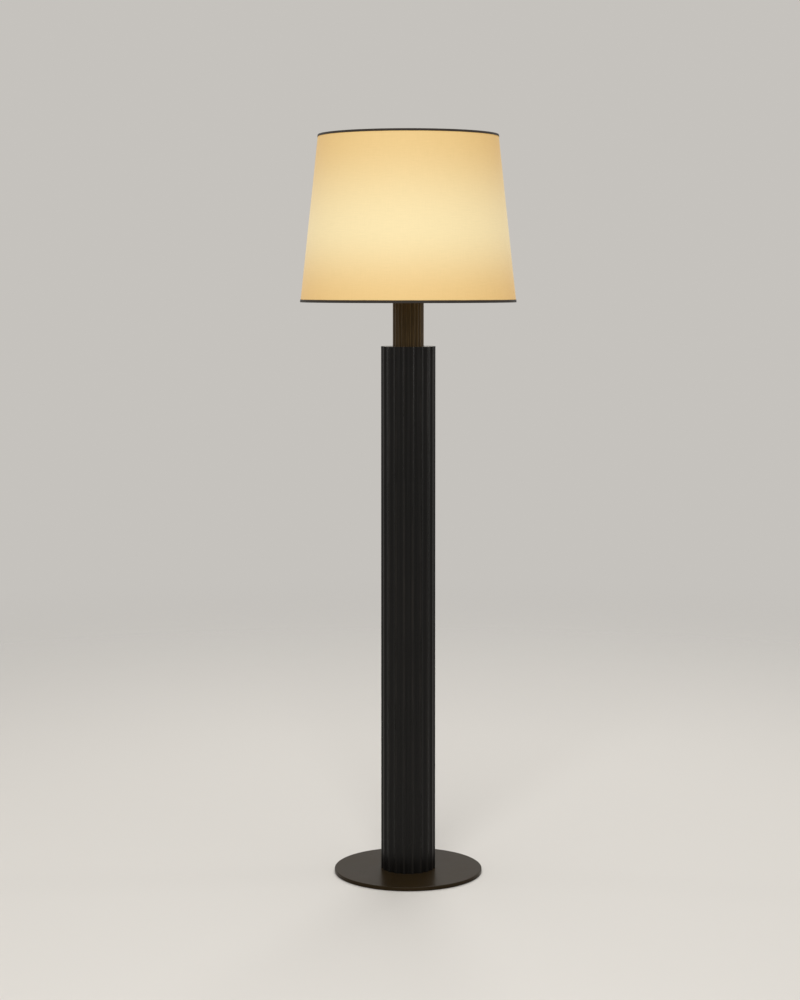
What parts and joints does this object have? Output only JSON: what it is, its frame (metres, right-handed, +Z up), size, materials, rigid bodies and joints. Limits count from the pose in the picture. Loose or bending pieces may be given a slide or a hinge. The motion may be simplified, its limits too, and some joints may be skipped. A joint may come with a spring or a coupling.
{
  "type": "column floor lamp",
  "caption": "Floor lamp with a slender fluted column that slides in a stout fluted one, on a round base plate, under a tapered drum shade with dark edge tape.",
  "frame": {"origin": "on the floor, at the centre of the round base", "axes": "+Z up along the columns, -Y to the front, +X to the side of the switch knob"},
  "size_m": [0.4371, 0.4372, 1.4993],
  "materials": {
    "column_finish": "satin",
    "tube_finish": "satin",
    "cap_finish": "satin",
    "plate_finish": "satin",
    "pad_rubber": "matte",
    "turned_aluminium": "satin",
    "blackened_steel": "satin",
    "grommet_rubber": "matte",
    "bearing_plastic": "matte",
    "plated_steel": "satin",
    "holder_brass": "satin",
    "porcelain": "satin",
    "insulating_board": "matte",
    "knob_plastic": "gloss",
    "white_wire": "satin",
    "shade_cloth": "matte",
    "shade_lining": "matte",
    "tape_cloth": "matte",
    "opal_glass": "satin",
    "bulb_metal": "satin",
    "black_glass": "gloss"
  },
  "bodies": {
    "stand": {"base_plate": "plate_finish", "floor_pad": "pad_rubber", "foot_hub": "turned_aluminium", "hub_screws": "blackened_steel", "lower_column": "column_finish", "column_screws": "blackened_steel", "cord_grommet": "grommet_rubber", "column_cap": "cap_finish", "guide_bush": "bearing_plastic", "bush_screws": "plated_steel"},
    "head": {"upper_column": "tube_finish", "tube_screws": "blackened_steel", "slide_plug": "turned_aluminium", "glide_ring": "bearing_plastic", "stop_sleeve": "turned_aluminium", "end_cap": "cap_finish", "nipple": "plated_steel", "nipple_nuts": "plated_steel", "lampholder_cap": "holder_brass", "lampholder_core": "porcelain", "lampholder_shell": "holder_brass", "lampholder_liner": "insulating_board", "screw_sleeve": "holder_brass", "centre_contact": "holder_brass", "shade_ring_lower": "holder_brass", "shade_ring_upper": "holder_brass", "shade_carrier": "white_wire", "top_wire": "white_wire", "shade_cover": "shade_cloth", "shade_lining": "shade_lining", "top_tape": "tape_cloth", "bottom_tape": "tape_cloth", "bulb_glass": "opal_glass", "bulb_cap": "bulb_metal", "bulb_insulator": "black_glass", "bulb_contact": "bulb_metal"},
    "switch": {"switch_spindle": "holder_brass", "switch_knob": "knob_plastic"}
  },
  "joints": [
    {"name": "height_slide", "type": "slide", "parent": "stand", "child": "head", "axis": [0, 0, 1], "range_m": [-0.103, 0.3]},
    {"name": "switch_turn", "type": "hinge", "parent": "head", "child": "switch", "pos_m": [0.0215, 0, 1.2097], "axis": [1, 0, 0], "continuous": true}
  ]
}
